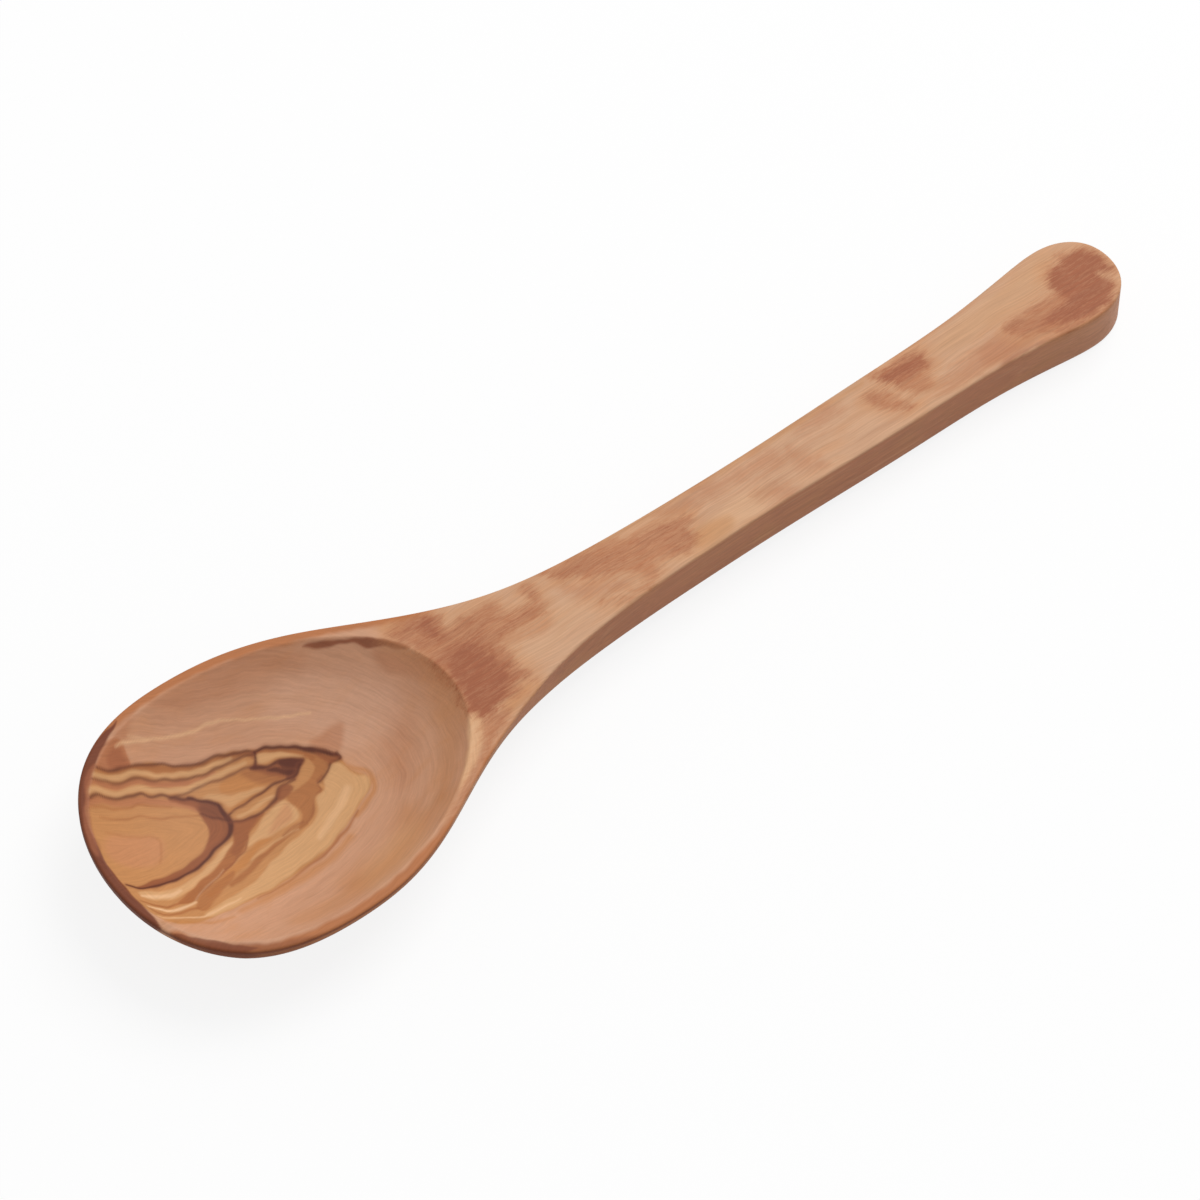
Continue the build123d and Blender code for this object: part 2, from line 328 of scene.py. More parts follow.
# The olive wood's figure. Each mark is its tone, its strength and the width of its soft
# edge, all painted one over the other. A line then has places with their half width,
# and an area has the places round its outline. They were read off the photograph
# and are in its pixels, (x, y, half) and (x, y), but for the rings and the rim, which
# are on the wood, (u, v) and (u, v, half).
# Some marks are painted light: shade on the hollow's walls and the bowl's edge, light on its near wall.
figure = {
    "spans": 4,       # of a smooth line, for each of a mark's points
    "pixel": 0.26,    # what a pixel of a line's half width is on the wood
    "bolder": 1.25,   # the dark lines are drawn this much wider than they were read
    "nudge": (0.6, -0.1),  # along and across the wood, so that the marks meet the rim
    # outlines of the whole figure and of the tongue in it, for the fine lines' way
    "rings": (
        ((-4, 34), (14.5, 32), (27, 28.5), (40.5, 22), (55, 17.5), (66, 8.5), (70, -4), (61.5, -10.5),
            (42, -15.5), (17.5, -16.5), (-4, -16)),
        ((-6, 25), (10, 24.5), (22.5, 22), (33, 16), (37.5, 10.5), (35.5, 3.5), (26.5, 0.5), (13.5, -2),
            (-6, 1)),
    ),
    "bowl": (
        ("gold", 1, 0.9, ((84, 766), (100, 769), (110, 771), (125, 767), (137, 763), (160, 765),
            (178, 767), (200, 764), (212, 757), (238, 752), (262, 749), (290, 748), (320, 752),
            (337, 758), (347, 769), (366, 778), (366, 792), (352, 815), (338, 835), (320, 855),
            (298, 872), (268, 892), (240, 906), (215, 917), (190, 925), (165, 922), (146, 912),
            (128, 898), (112, 878), (97, 852), (86, 822), (82, 792))),
        ("cloud", 0.9, 0.8, ((93, 769), (95, 757), (100, 747), (108, 740), (118, 741), (123, 752),
            (129, 765), (122, 769), (110, 771.5))),
        ("deep", 0.6, 1.5, ((107, 751), (116, 748), (122, 757), (126, 765), (112, 770), (105, 762))),
        ("cloud", 0.45, 1.6, ((110, 742), (112, 730), (121, 716), (134, 706), (130, 720), (125, 734),
            (121, 744))),
        ("brown", 0.75, 0.8, ((91, 771, 1.6), (110, 773.5, 1.4), (124, 770.5, 1.4), (137, 767.5, 2.6),
            (152, 770.5, 3.8), (175, 770.5, 3), (200, 766.5, 2), (214, 761, 1.8), (238, 755, 2),
            (250, 757, 2))),
        ("pale", 0.85, 0.8, ((88, 776.5, 1.8), (97, 777.5, 2.3), (110, 779, 2.5), (124, 776, 2.6),
            (137, 773, 2.4), (152, 776.5, 2), (175, 776, 2.2), (195, 772.5, 2.4), (212, 766.5, 2.4),
            (228, 760, 1.8))),
        ("cloud", 0.9, 0.8, ((86, 785, 2.2), (97, 784, 2.4), (110, 787.5, 2.6), (124, 785.5, 2.6),
            (137, 782.5, 2.4), (152, 785, 2.8), (175, 784.5, 2.8), (195, 781, 1.8), (212, 774, 1.3))),
        ("pale", 0.85, 0.9, ((87, 792, 2.6), (98, 790.5, 2.8), (110, 794, 2.6), (125, 792.5, 2.6),
            (137, 789, 2.8), (155, 791, 2.4), (178, 791, 3), (195, 786, 3), (210, 779, 2.4),
            (228, 770, 2.2), (243, 764, 1.6))),
        ("amber", 0.8, 1, ((218, 784), (232, 775), (248, 771), (264, 773), (282, 777), (276, 783),
            (260, 787), (244, 792), (228, 794), (219, 794))),
        ("pale", 0.65, 0.9, ((200, 799), (212, 795), (228, 797), (245, 792), (262, 788), (254, 794),
            (240, 801), (228, 808), (220, 804), (210, 801))),
        ("amber", 0.8, 0.8, ((228, 813, 2), (242, 803, 2), (256, 796, 2), (268, 790, 1.2))),
        ("pale", 0.7, 0.7, ((236, 818, 1.6), (250, 810, 1.8), (262, 802, 2.2), (272, 797, 1.6))),
        ("blush", 0.75, 2.6, ((106, 838), (130, 837), (152, 838), (161, 846), (160, 860), (146, 868),
            (120, 866), (104, 852))),
        ("cloud", 0.85, 1, ((86, 803, 3.6), (98, 801, 3.2), (112, 803.5, 3.6), (130, 802.5, 3.4),
            (145, 801.5, 3.6), (162, 803, 3.6), (180, 805, 3.4), (194, 810, 3.4))),
        ("brown", 0.75, 0.6, ((86, 808, 0.9), (98, 807, 1), (112, 810, 1.1), (128, 808, 1),
            (137, 805.5, 1), (156, 807.5, 1), (170, 808.5, 0.8))),
        ("rust", 0.45, 1.2, ((87, 838), (94, 841), (99, 850), (94, 853), (90, 848))),
        ("brown", 0.65, 0.6, ((98, 818, 0.8), (114, 821, 1), (130, 819, 0.9), (142, 817, 0.9),
            (156, 820, 1.1), (172, 818, 0.9), (186, 818, 0.8), (200, 815, 0.9))),
        ("brown", 0.4, 0.8, ((103, 833, 0.8), (114, 836, 0.9), (132, 838, 0.8), (150, 838, 0.9),
            (158, 843, 1), (159, 852, 1.2), (158, 864, 0.8))),
        ("umber", 0.95, 0.9, ((168, 800.5), (190, 800), (202, 804), (216, 806), (223, 813), (228, 822),
            (228, 833), (223, 841), (214, 850), (205, 860), (197, 867), (187, 874), (176, 879.5),
            (166, 884), (156, 887.5), (144, 889.5), (134, 888), (150, 882), (166, 876), (180, 869),
            (193, 859), (202, 850), (206, 841), (206, 833), (203, 825), (197, 815), (187, 807))),
        ("vein", 0.4, 2, ((200, 803), (214, 805), (221, 813), (225, 819), (214, 818), (204, 815),
            (196, 812))),
        ("pale", 0.9, 0.9, ((136, 893), (150, 893), (164, 892), (180, 886), (196, 876), (208, 864),
            (220, 851), (229, 843), (228, 850), (216, 864), (206, 875), (194, 886), (182, 895),
            (168, 901), (152, 901), (142, 898))),
        ("light", 0.8, 0.9, ((140, 897, 1.2), (152, 898, 2.2), (166, 897, 2.4), (178, 892, 1.6))),
        ("brown", 0.95, 0.7, ((231, 823), (242, 820), (255, 815), (262, 815), (254, 826), (248, 835),
            (244, 845), (240, 853), (233, 862), (226, 872), (216, 880), (206, 889), (198, 897),
            (190, 902), (176, 905), (184, 896), (195, 886), (205, 877), (214, 868), (222, 858),
            (227, 850), (230, 842), (230, 832))),
        ("umber", 0.6, 1.2, ((231, 824), (242, 820), (256, 815), (252, 826), (246, 838), (242, 848),
            (235, 856), (229, 852), (231, 842))),
        ("umber", 0.75, 0.6, ((246, 838, 0.8), (243, 851, 1), (236, 858, 0.9), (229, 866, 0.9),
            (220, 874, 0.8), (210, 883, 0.7), (200, 893, 0.8), (194, 901, 0.7))),
        ("pale", 0.9, 0.8, ((254, 832), (262, 819), (270, 810), (277, 802), (284, 802), (291, 807),
            (296, 813), (295, 820), (287, 826), (276, 832), (264, 838), (254, 843), (246, 847),
            (249, 839))),
        ("blush", 0.6, 1.6, ((278, 812), (284, 804), (290, 812), (288, 822), (276, 830), (266, 833))),
        ("amber", 0.95, 1, ((268, 839, 1), (256, 846, 2.6), (247, 856, 3.6), (238, 866, 4.2),
            (228, 876, 4.2), (218, 886, 3.6), (208, 896, 3))),
        ("brown", 0.8, 0.9, ((304, 824, 1.4), (292, 832, 1.8), (282, 839, 2.2), (272, 847, 2.4),
            (262, 856, 2.8), (252, 866, 3.2), (242, 876, 3), (230, 886, 2.4))),
        ("pale", 0.6, 0.7, ((296, 830, 0.8), (284, 836, 1), (272, 843, 1.2), (260, 851, 1.3),
            (250, 861, 1))),
        ("brown", 0.7, 0.8, ((194, 908), (197, 899), (203, 892), (211, 885), (222, 878), (232, 872),
            (232, 880), (222, 890), (214, 900), (209, 908), (202, 912))),
        ("brown", 0.85, 0.8, ((255, 752.5, 1.2), (264, 752, 1.6), (276, 752, 1.8), (290, 752.5, 2.2),
            (300, 755, 2.4), (310, 759, 2.4))),
        ("umber", 0.6, 1, ((276, 790), (287, 786), (289, 789), (284, 797), (278, 803), (270, 808),
            (262, 812), (272, 800))),
        ("brown", 0.72, 0.8, ((300, 753), (314, 755), (330, 757), (330, 762), (324, 770), (320, 779),
            (313, 784), (318, 788), (319, 794), (312, 797), (312, 806), (312, 816), (304, 824),
            (297, 828), (299, 818), (298, 811), (290, 806), (284, 800), (285, 795), (293, 791),
            (301, 786), (307, 779), (311, 772), (310, 764))),
        ("umber", 0.5, 0.6, ((320, 776, 0.8), (314, 784, 0.8), (318, 791, 0.8), (312, 799, 0.9),
            (312, 812, 0.9), (304, 823, 0.8))),
        ("gold", 0.9, 0.7, ((301, 763), (308, 765), (310, 772), (305, 780), (298, 786), (291, 787),
            (292, 781), (298, 772))),
        ("pale", 0.8, 0.6, ((254, 756), (262, 754), (278, 753), (292, 755), (300, 757), (290, 758),
            (276, 759), (266, 762), (255, 764))),
        ("pale", 0.95, 0.9, ((327, 766), (338, 764), (346, 771), (356, 776), (367, 779), (366, 790),
            (360, 800), (352, 812), (345, 824), (338, 833), (330, 843), (320, 852), (308, 861),
            (298, 868), (287, 877), (274, 886), (262, 893), (248, 900), (235, 907), (222, 913),
            (210, 918), (203, 916), (213, 909), (222, 902), (232, 896), (245, 888), (256, 879),
            (266, 868), (275, 858), (285, 847), (295, 838), (305, 829), (313, 820), (316, 808),
            (315, 798), (322, 790), (322, 780), (326, 772))),
        ("light", 0.45, 1.4, ((345, 790, 4), (335, 810, 4), (318, 838, 3))),
        ("amber", 0.65, 1.2, ((338, 762, 1), (350, 768, 1.8), (363, 772, 2.2), (371, 780, 2.4),
            (371, 792, 2.6), (364, 804, 3), (355, 817, 2.4))),
        ("brown", 0.8, 0.9, ((356, 812, 0.8), (346, 829, 1.6), (337, 839, 1.8), (328, 849, 1.8),
            (317, 859, 1.6), (306, 867, 1.4), (296, 875, 1.2), (285, 884, 1.2), (270, 892, 1),
            (256, 900, 0.8))),
        ("amber", 0.6, 2.4, ((348, 838, 3), (330, 858, 4.5), (308, 874, 5.5), (286, 888, 5),
            (262, 901, 4), (240, 912, 3))),
        ("brown", 0.85, 0.6, ((138, 902, 0.8), (150, 905, 1.2), (163, 908, 1.4), (174, 906, 1.4),
            (184, 903, 1.2), (193, 901, 0.8))),
        ("light", 0.95, 0.7, ((146, 907, 0.8), (156, 909.5, 1.4), (166, 912, 2), (176, 911, 1.8),
            (184, 907.5, 1.6), (193, 903, 1.1))),
        ("light", 0.35, 0.6, ((193, 902, 0.6), (198, 895, 0.6), (206, 886, 0.7), (214, 879, 0.8),
            (222, 871, 0.6))),
        ("brown", 0.8, 0.8, ((148, 909, 0.8), (158, 914.5, 1.3), (168, 916.5, 1.5), (178, 914.5, 1.5),
            (187, 911, 1.6), (196, 908.5, 1.6))),
        ("light", 0.75, 0.7, ((156, 917, 0.7), (166, 919.5, 0.9), (180, 919, 1), (194, 918.5, 1.1),
            (203, 918, 1.3), (211, 914, 1.4), (224, 907, 1.2), (238, 899, 0.8))),
        ("amber", 0.5, 1.2, ((160, 923, 1.2), (178, 923, 2), (196, 924, 2.2), (214, 923, 2),
            (232, 918, 1.4))),
    ),
    "lines": (
        ("umber", 0.85, 1.4, ((248, 770), (254, 766), (268, 766), (282, 761), (299, 760), (297, 768),
            (290, 777), (276, 778), (262, 775), (252, 772))),
        ("umber", 0.5, 1.6, ((238, 775), (252, 771), (268, 774), (284, 777), (276, 783), (262, 785),
            (250, 783))),
        ("vein", 0.75, 0.65, ((90, 768, 0.6), (97, 769, 0.8), (110, 771.5, 1), (119, 769, 0.9),
            (130, 766, 0.9), (138, 764.5, 1), (147, 766.5, 0.9), (160, 765, 0.9), (172, 767, 0.9),
            (187, 766, 0.9), (200, 764, 0.9), (211, 758, 1), (228, 756, 0.9), (242, 752.5, 1),
            (252, 753.5, 1))),
        ("vein", 0.95, 0.65, ((252, 753, 1), (262, 749, 1.1), (275, 748.5, 1.1), (290, 748, 1.3),
            (302, 750, 1.9), (314, 752, 2.4), (326, 754, 2), (335, 757, 1.4), (338, 759, 0.8))),
        ("vein", 0.65, 0.65, ((86, 780, 0.6), (96, 781, 0.7), (104, 782, 0.8), (111, 784, 0.8),
            (123, 782, 0.8), (137, 778.5, 0.9), (148, 781.5, 0.8), (162, 780, 0.8), (176, 781, 0.8),
            (190, 778, 0.8), (204, 774.5, 0.9), (214, 769.5, 0.9), (228, 763, 0.9), (240, 757.5, 0.9),
            (250, 756, 0.8))),
        ("vein", 0.8, 0.65, ((84, 800, 0.7), (88, 798.5, 0.8), (95, 795.5, 0.9), (104, 798, 0.9),
            (118, 798, 0.9), (130, 797, 0.9), (138, 794.5, 1), (146, 796.5, 0.9), (158, 795.5, 0.9),
            (166, 797, 1), (176, 799.5, 1.3), (190, 800, 1.2))),
        ("vein", 0.95, 0.7, ((186, 799, 1.2), (198, 802, 1.3), (213, 804.5, 1.5), (219, 810, 1.5),
            (224, 817, 2), (228, 825, 2.2), (228, 834, 1.9), (223, 841, 1.3), (214, 850, 1.1),
            (205, 860, 1.2), (197, 867, 1.2), (187, 874, 1.1), (176, 879, 1.1), (166, 883.5, 1),
            (156, 887, 1), (144, 889, 0.9), (134, 889, 0.9), (124, 886, 0.7))),
        ("vein", 0.55, 0.65, ((168, 799, 0.8), (180, 795.5, 0.9), (192, 789.5, 0.9), (205, 785, 0.8),
            (218, 780, 0.9), (232, 774, 0.9), (245, 769, 1), (252, 768, 1.2))),
        ("vein", 0.7, 0.65, ((199, 815, 0.7), (210, 817, 0.9), (220, 820, 1), (228, 822, 1))),
        ("vein", 0.85, 0.65, ((252.5, 753, 0.9), (253.5, 760, 0.9), (252, 767, 1.2))),
        ("vein", 0.85, 0.7, ((247, 770), (253, 766), (264, 766), (274, 762), (284, 760), (296, 759),
            (300, 761), (298, 766), (291, 769), (280, 766), (268, 768), (256, 771))),
        ("vein", 0.8, 0.65, ((334, 754, 1.4), (337, 758, 1.3), (334, 761, 1.1), (328, 763, 0.9),
            (326, 769, 0.7), (322, 777, 0.6), (316, 783, 0.6))),
        ("vein", 0.75, 0.8, ((282, 760), (300, 759.5), (299, 765), (295, 771), (291, 779), (284, 780),
            (286, 774), (280, 769), (276, 764))),
        ("vein", 0.85, 0.6, ((264, 770), (276, 769), (287, 771), (294, 771), (290, 776), (280, 775),
            (270, 773))),
        ("vein", 0.85, 0.65, ((298, 765, 1.2), (294, 775, 1), (286, 780, 0.9), (275, 784, 0.9),
            (266, 789, 0.9), (256, 796, 0.8), (244, 803, 0.6), (234, 810, 0.5), (227, 816, 0.6))),
        ("vein", 0.7, 0.65, ((292, 780, 0.8), (284, 785, 0.9), (277, 789, 1.4), (275, 797, 1.4),
            (269, 806, 1), (260, 813, 1.1), (250, 818, 1), (238, 822, 0.7), (230, 823, 0.7))),
        ("umber", 0.7, 0.8, ((277, 788), (289, 786), (291, 790), (284, 797), (276, 800))),
        ("umber", 0.8, 0.8, ((312, 754), (326, 757), (337, 758), (331, 763), (322, 762))),
        ("umber", 0.55, 0.65, ((300, 822, 0.8), (290, 829, 0.9), (281, 836, 0.8))),
    ),
    # streaks in the hollow's plain wood, with painted shade on its far and heel walls and painted light
    # on its near wall and middle
    "streaksShadeAndLight": (
        # painted shade: the far wall of the hollow, darker below the rim
        ("cloud", 0.32, 6, ((148, 702), (170, 684), (200, 668), (240, 656), (290, 650), (300, 660),
            (268, 676), (228, 694), (186, 712), (156, 716))),
        ("amber", 0.45, 8, ((340, 880), (372, 856), (392, 834), (398, 812), (410, 806), (420, 818),
            (410, 842), (388, 870), (350, 892))),
        # painted shade: the heel's wall of the hollow, which faces away from the lamp
        ("cloud", 0.28, 8, ((388, 700), (404, 705), (414, 730), (412, 770), (398, 790), (386, 770),
            (382, 735))),
        # painted light: the near wall of the hollow, lighter where it faces the lamp
        ("light", 0.22, 7, ((362, 872), (380, 845), (402, 828), (422, 828), (424, 845), (404, 870),
            (372, 892))),
        # paler pink wood in the middle of the hollow, with a painted soft sheen over it
        ("blossom", 0.32, 6, ((262, 700), (290, 680), (330, 668), (370, 672), (396, 690), (398, 720),
            (372, 742), (350, 748), (330, 742), (300, 728), (268, 722))),
        # painted shade: more of the heel's wall, darker
        ("amber", 0.35, 6, ((428, 668), (446, 690), (456, 715), (458, 745), (452, 775), (440, 800),
            (430, 790), (436, 760), (436, 730), (426, 700))),
        ("amber", 0.3, 4, ((452, 790), (436, 822), (412, 850), (380, 880), (345, 905), (300, 925),
            (290, 918), (340, 893), (380, 862), (410, 830), (432, 800))),
        ("light", 0.5, 0.8, ((126, 735, 0.6), (136, 737, 0.9), (146, 740, 0.7))),
        ("light", 0.85, 0.8, ((113, 747, 0.6), (124, 742, 1.1), (140, 740.5, 0.9), (158, 739, 0.8),
            (175, 736, 1.1), (190, 733, 1), (200, 727, 0.9), (212, 722.5, 0.9), (235, 721, 0.7),
            (262, 719.5, 0.7), (290, 717.5, 0.7), (308, 713, 0.5))),
        ("cloud", 0.5, 2, ((308, 742), (318, 736), (330, 726), (341, 724), (341, 738), (338, 750),
            (326, 751), (314, 749))),
        # painted shadow of the far rim: a dark band with a scalloped edge just inside the hollow's far
        # edge
        ("rust", 0.85, 0.7, ((300, 646), (315, 641), (332, 638.5), (352, 637.5), (372, 638.5),
            (392, 642), (408, 648), (396, 650), (384, 646), (372, 646), (364, 648), (354, 643),
            (342, 642), (330, 644.5), (320, 648), (308, 648))),
        # painted shade: the hollow's corner under the far rim by the heel
        ("cloud", 0.45, 2.6, ((372, 648), (400, 652), (424, 656), (442, 668), (450, 686), (432, 684),
            (410, 678), (388, 672), (374, 662))),
    ),
    "clouds": (
        ((396, 620), (404, 614), (420, 612), (432, 614), (440, 620), (447, 628), (455, 621), (464, 617),
            (476, 611), (482, 604), (492, 604), (493, 611), (505, 612), (522, 607), (540, 604),
            (541, 614), (530, 622), (514, 630), (502, 637), (496, 646), (508, 652), (513, 664),
            (529, 674), (530, 680), (517, 684), (521, 691), (509, 698), (498, 704), (492, 714),
            (487, 723), (479, 726), (473, 716), (464, 717), (455, 700), (440, 680), (420, 660),
            (400, 645), (385, 636)),
        ((481, 722), (494, 713), (507, 710), (502, 727), (494, 744), (486, 759), (478, 774), (470, 789),
            (460, 806), (448, 822), (452, 806), (464, 788), (473, 768), (479, 752), (481, 738)),
        ((519, 588), (528, 585), (534, 590), (535, 597), (541, 602), (533, 604), (526, 598), (520, 595)),
        ((538, 573), (552, 566), (566, 558), (582, 551), (600, 544), (614, 539), (628, 537), (642, 531),
            (656, 525), (668, 520), (682, 517), (689, 522), (682, 528), (692, 532), (697, 539),
            (692, 547), (684, 553), (671, 556), (660, 560), (655, 566), (659, 572), (652, 580),
            (641, 577), (630, 574), (618, 572), (606, 577), (592, 580), (574, 579), (556, 580),
            (546, 577)),
        ((598, 604, 1.2), (610, 600.5, 1.6), (622, 599.5, 1.8), (632, 595, 1.8), (642, 590, 1.5),
            (652, 585, 1.2)),
        ((862, 398), (870, 393), (881, 393), (895, 397), (905, 402), (911, 408), (904, 411), (890, 412),
            (878, 409), (868, 405)),
        ((869, 376), (884, 367), (897, 359), (912, 352), (922, 353), (926, 359), (931, 366), (926, 374),
            (930, 382), (924, 390), (912, 393), (900, 390), (892, 385), (880, 382)),
        ((1003, 330), (1009, 320), (1021, 315), (1033, 304), (1046, 298), (1050, 290), (1044, 284),
            (1045, 270), (1053, 265), (1056, 256), (1066, 253), (1076, 250), (1086, 248), (1096, 252),
            (1103, 258), (1109, 264), (1115, 270), (1108, 273), (1098, 274), (1101, 278), (1110, 280),
            (1114, 287), (1113, 297), (1108, 306), (1100, 315), (1090, 321), (1078, 327), (1062, 333),
            (1048, 336), (1034, 335), (1018, 338)),
    ),
    "deeps": (
        ((444, 664), (452, 648), (470, 642), (490, 652), (504, 668), (510, 684), (504, 700), (492, 714),
            (476, 718), (464, 706), (454, 686)),
        ((412, 620), (426, 618), (436, 628), (438, 640), (428, 640), (416, 630)),
        ((1046, 290), (1046, 272), (1060, 258), (1080, 251), (1098, 255), (1110, 266), (1112, 284),
            (1112, 296), (1104, 308), (1086, 318), (1062, 324), (1044, 322), (1056, 308), (1062, 298)),
        ((874, 384), (886, 370), (906, 358), (920, 360), (916, 372), (900, 382), (884, 390)),
    ),
    "faint": (
        ((560, 586), (580, 582), (600, 580), (616, 578), (626, 585), (616, 593), (600, 598), (588, 601),
            (575, 599), (562, 593)),
        ((652, 514), (668, 506), (680, 498), (695, 497), (700, 505), (690, 512), (675, 517), (660, 519)),
        ((684, 496), (700, 483), (720, 478), (740, 468), (746, 478), (730, 485), (718, 493), (704, 500)),
        ((744, 468), (755, 455), (770, 450), (781, 458), (776, 466), (762, 471), (751, 475)),
        ((750, 492), (765, 485), (781, 483), (792, 490), (785, 498), (770, 501), (757, 502)),
        ((783, 449), (797, 452), (810, 459), (824, 466), (812, 471), (796, 466)),
        ((793, 430), (808, 418), (822, 407), (836, 410), (828, 421), (815, 429), (802, 434)),
        ((926, 388), (945, 376), (962, 362), (975, 350), (984, 340), (1000, 333), (1020, 340),
            (1050, 338), (1068, 332), (1050, 342), (1028, 350), (1008, 360), (985, 372), (962, 382),
            (942, 392)),
        ((498, 640), (512, 634), (530, 626), (546, 618), (545, 628), (525, 636), (508, 644)),
    ),
    "tints": (
        ("cloud", 0.4, 2.6, ((978, 352), (1000, 338), (1022, 326), (1044, 316), (1066, 318),
            (1088, 312), (1104, 306), (1100, 318), (1080, 330), (1056, 338), (1030, 348), (1004, 362),
            (984, 366))),
        ("light", 0.3, 5, ((672, 560), (690, 535), (720, 510), (752, 490), (770, 492), (760, 512),
            (730, 536), (698, 560))),
        ("fawn", 0.6, 4, ((930, 352), (950, 326), (985, 302), (1026, 264), (1046, 252), (1050, 264),
            (1042, 287), (1020, 307), (1000, 320), (975, 337), (950, 350))),
        ("gold", 0.5, 1.6, ((566, 560, 1.5), (620, 531, 2), (700, 484, 2.5), (780, 434, 3),
            (860, 384, 2.5))),
        ("gold", 0.55, 3, ((690, 540), (700, 525), (718, 518), (731, 520), (725, 535), (710, 546),
            (698, 550))),
        ("amber", 0.5, 3, ((500, 709), (512, 693), (530, 682), (538, 685), (526, 698), (512, 711))),
        ("light", 0.75, 1.2, ((466, 719), (480, 720), (481, 738), (477, 755), (468, 774), (458, 792),
            (462, 770), (466, 745))),
        ("amber", 0.4, 3, ((380, 622), (400, 617), (404, 630), (392, 636), (376, 632))),
        ("light", 0.12, 2.5, ((560, 603), (590, 601), (596, 608), (570, 628), (545, 652), (525, 664),
            (512, 656), (516, 645), (540, 628))),
        ("rust", 0.6, 1, ((1000, 366, 0.8), (1016, 355, 1.4), (1036, 345, 1.2), (1056, 337, 1.4),
            (1076, 329, 1.6), (1092, 321, 1.8), (1103, 312, 2), (1110, 302, 1.6))),
        ("umber", 0.5, 0.5, ((467, 719, 0.5), (473, 716, 0.9), (480, 718, 0.5))),
    ),
    # dark red wood along the bowl's edge, deepened by painted shade where the rim tilts out at the tip
    "edge": (
        ("edge", 0.95, 0.7, ((114, 722, 0.5), (106, 733, 2.6), (99, 742, 4.4), (91, 754, 5.2),
            (85, 768, 5), (81, 784, 4.2), (79, 800, 4), (80, 818, 4.2), (83, 834, 5), (90, 850, 5.8),
            (99, 868, 6.4), (110, 884, 7.2), (122, 899, 8), (134, 911, 7.6), (146, 922, 5.6),
            (156, 930, 3))),
        ("deep", 0.75, 0.9, ((91, 766, 1.6), (86, 780, 3.2), (84.5, 800, 2.2), (85, 818, 3.2),
            (88, 838, 3.4), (95, 856, 2))),
        # painted shade: the lower wall and belly along the near side, in shadow
        ("edge", 0.72, 0.6, ((164, 935, 1.5), (172, 939, 5), (186, 944, 6.5), (205, 948, 7),
            (228, 950, 5.2), (250, 950, 1.5), (270, 949, -2.5))),
        ("edge", 0.42, 1.4, ((206, 948, 4), (236, 950, 6), (262, 949, 5.4), (285, 945, 3.8),
            (312, 938, 1.5), (340, 926, -1.5), (372, 905, -4.5))),
    ),
    # warmer wood on the rim
    "rim": (
        ("warm", 0.9, 1.6, ((20, 37, 1.0), (30, 40, 2.6), (43, 41.5, 3.6), (60, 39.5, 3.8),
            (75, 34, 3.4), (86, 28.2, 2.4), (97, 22, 1.2), (110, 17, 0.2))),
        ("warm", 0.9, 1.6, ((108, -17.6, 0.2), (98, -22, 0.8), (92, -25, 1.4), (82, -32, 2.6),
            (70, -37, 3.2), (57, -40.5, 3.6), (43, -42, 3.8), (30, -40.5, 3.4), (18, -36, 2.8),
            (8, -27, 2.0), (4, -19, 1.4))),
    ),
}

# How the figure and the grain run through the wood.
growth = {
    "drift": (0.35, 0.55),            # of the figure along and across, for each mm below the face
    "stray": (0.16, 6, 0.4, 2.9),     # waves of the marks: reach, length, turn along and across
    # deep in the belly the marks fade by this much, from this depth over this many mm
    "fading": 0.92, "plainFrom": 2.2, "plainOver": 2.5,
    # red wood along a dark line: share of its strength, how much further it reaches, soft edge
    "redder": (0.55, 0.3, 1.3),
    # the grain fans out across the bowl, one way above and the other below a middle line,
    # about one place along the spoon, and has turned in line past another
    "slant": 0.3, "fanMiddle": 6, "fanWidth": 17, "fanAbout": 45, "fanEnd": 55, "fanEase": 15,
    "grainWaves": (0.5, 26, 0.7), "ringWaves": (0.22, 20, 1.9),  # reach, length and turn
    "ringReach": 60.0, "tongueRing": 30,  # the rings' extent, and the number of the tongue's first
    "sinking": 1.2, "sinkFrom": 0.5,      # areas shrink for each mm below this depth
    # the waves themselves: turn and shift from one to the next, lengths as shares, and height
    "waveTurn": 2.4, "waveShift": 1.7, "waveLengths": (1.2, 1.8, 0.9, 1.5, 0.6), "waveHeight": 2.2,
}


# A mark's places on the wood from those in the photograph: the camera's ray through each
# meets the wood at its depth there, which is found by going half of the way again and again.
def onWood(points, bolder=1.0):
    points = np.asarray(points, float)
    turn, rise = math.radians(sight["turn"]), math.radians(sight["rise"])
    back = np.array([math.sin(turn) * math.cos(rise), -math.cos(turn) * math.cos(rise), math.sin(rise)])
    right = np.array([math.cos(turn), math.sin(turn), 0.0])
    up = np.cross(back, right)
    eye = np.array([*np.add(sight["aim"], figure["nudge"]), 0.0]) + sight["distance"] * back
    middle = sight["frame"] / 2
    focal = sight["lens"] / sight["sensor"] * sight["frame"]
    ray = np.outer(points[:, 0] - middle, right) - np.outer(points[:, 1] - middle, up) - back * focal
    height = np.zeros(len(points))
    for _ in range(sight["halvings"]):
        met = eye + ray * ((height - eye[2]) / ray[:, 2])[:, None]
        height = (height - hollowDepth(met[:, 0], met[:, 1])) / 2
    return np.concatenate([met[:, :2], points[:, 2:] * figure["pixel"] * bolder], 1)


# The same for a group of marks, each with its tone, strength and soft edge.
def marksOnWood(group, bolder=1.0):
    return [(*mark[:3], onWood(mark[3], bolder)) for mark in figure[group]]


# A smooth line through points: a natural cubic spline of each coordinate, carried round past
# its ends where the line is closed.
def smoothLine(points, closed):
    points = np.asarray(points, float)
    count = len(points)
    if closed:
        points = np.concatenate([points[-3:], points, points[:4]])
    spans = count - 1 + closed
    fine = np.linspace(0, spans, figure["spans"] * spans + 1) + 3 * closed
    return np.stack([smoothThrough(np.arange(len(points)), c)(fine) for c in points.T], -1)


